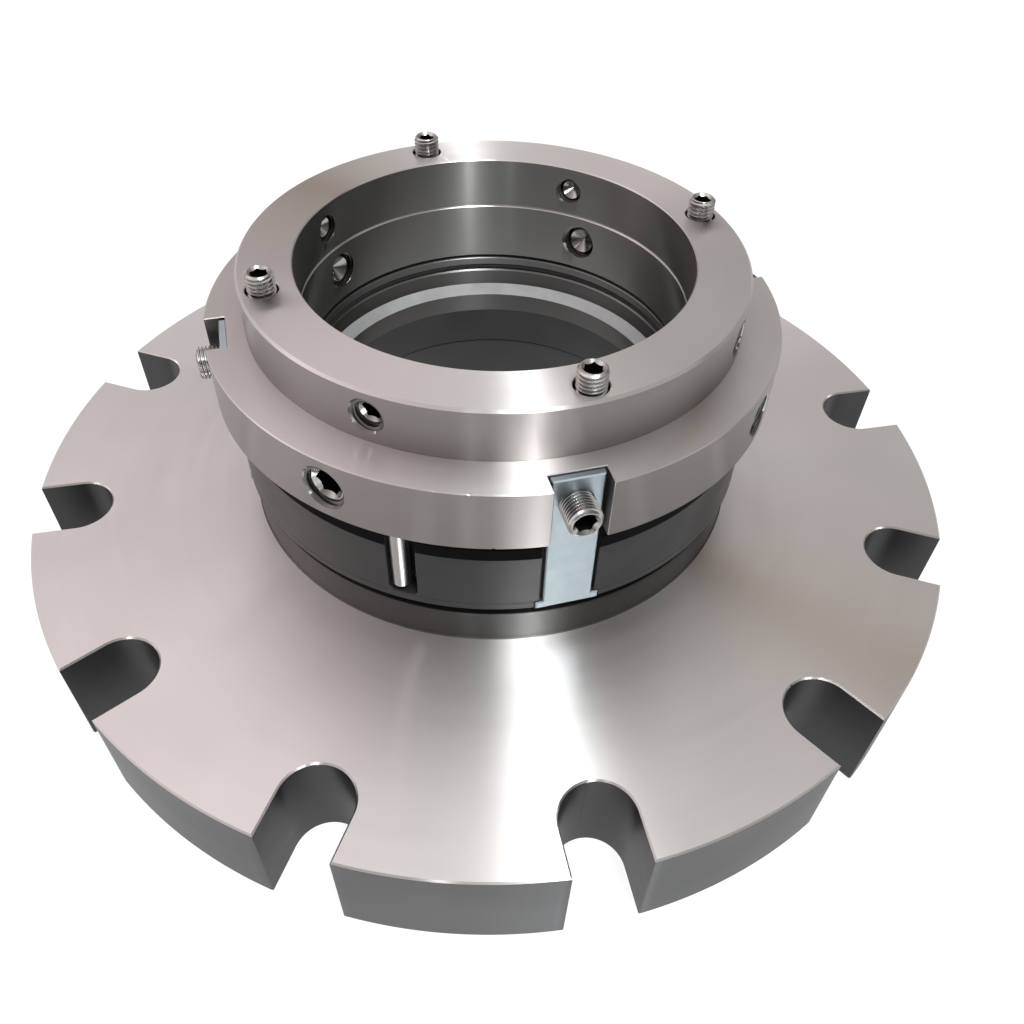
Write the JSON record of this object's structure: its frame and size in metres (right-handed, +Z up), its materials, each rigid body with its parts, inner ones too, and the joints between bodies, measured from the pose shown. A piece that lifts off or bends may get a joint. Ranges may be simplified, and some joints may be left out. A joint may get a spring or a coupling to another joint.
{
  "type": "cartridge mechanical seal",
  "caption": "Slotted steel gland flange with a raised hub, under a black rotating face ring, a drive collar with setting clips and a lock collar.",
  "frame": {"origin": "centre of the gland flange's underside", "axes": "+Z up along the shaft's axis, from the flange to the lock collar; one bolt slot faces -Y"},
  "size_m": [0.3792, 0.3792, 0.1488],
  "materials": {
    "flange_steel": "fine turned, satin",
    "collar_steel": "ground and polished, satin",
    "carrier_steel": "fine turned",
    "clip_steel": "milled, bead blasted",
    "screw_steel": "plain stainless, bright ends",
    "pin_steel": "ground bright",
    "spring_steel": "drawn wire",
    "black_ceramic": "matte to satin black",
    "rubber": "matte",
    "gasket": "matte"
  },
  "bodies": {
    "stator": {"gland_flange": "flange_steel", "gland_gasket": "gasket", "stationary_seat": "black_ceramic", "seat_o_ring": "rubber", "seat_pin_1": "pin_steel", "seat_pin_2": "pin_steel"},
    "rotor": {"drive_collar": "collar_steel", "lock_collar": "collar_steel", "closing_spring_1": "spring_steel", "closing_spring_2": "spring_steel", "closing_spring_3": "spring_steel", "closing_spring_4": "spring_steel", "closing_spring_5": "spring_steel", "closing_spring_6": "spring_steel", "closing_spring_7": "spring_steel", "closing_spring_8": "spring_steel", "drive_pin_1": "pin_steel", "drive_pin_2": "pin_steel", "drive_pin_3": "pin_steel", "drive_pin_4": "pin_steel", "setting_clip_1": "clip_steel", "setting_clip_2": "clip_steel", "setting_clip_3": "clip_steel", "setting_clip_4": "clip_steel", "clip_screw_1": "screw_steel", "clip_screw_2": "screw_steel", "clip_screw_3": "screw_steel", "clip_screw_4": "screw_steel", "axial_screw_1": "screw_steel", "axial_screw_2": "screw_steel", "axial_screw_3": "screw_steel", "axial_screw_4": "screw_steel", "lock_screw_1": "screw_steel", "lock_screw_2": "screw_steel", "lock_screw_3": "screw_steel", "lock_screw_4": "screw_steel", "drive_screw_1": "screw_steel", "drive_screw_2": "screw_steel", "drive_screw_3": "screw_steel", "drive_screw_4": "screw_steel"},
    "face_unit": {"rotating_face": "black_ceramic", "face_carrier": "carrier_steel", "shaft_o_ring": "rubber", "thrust_ring": "carrier_steel"}
  },
  "joints": [
    {"name": "shaft_spin", "type": "hinge", "parent": "stator", "child": "rotor", "pos_m": [0, 0, 0.1], "axis": [0, 0, 1], "continuous": true},
    {"name": "face_float", "type": "slide", "parent": "rotor", "child": "face_unit", "axis": [0, 0, 1], "range_m": [0, 0.0012], "stiffness_N_per_m": 20000, "springref_m": -0.004, "deforming": ["closing_spring_1", "closing_spring_2", "closing_spring_3", "closing_spring_4", "closing_spring_5", "closing_spring_6", "closing_spring_7", "closing_spring_8"]}
  ]
}
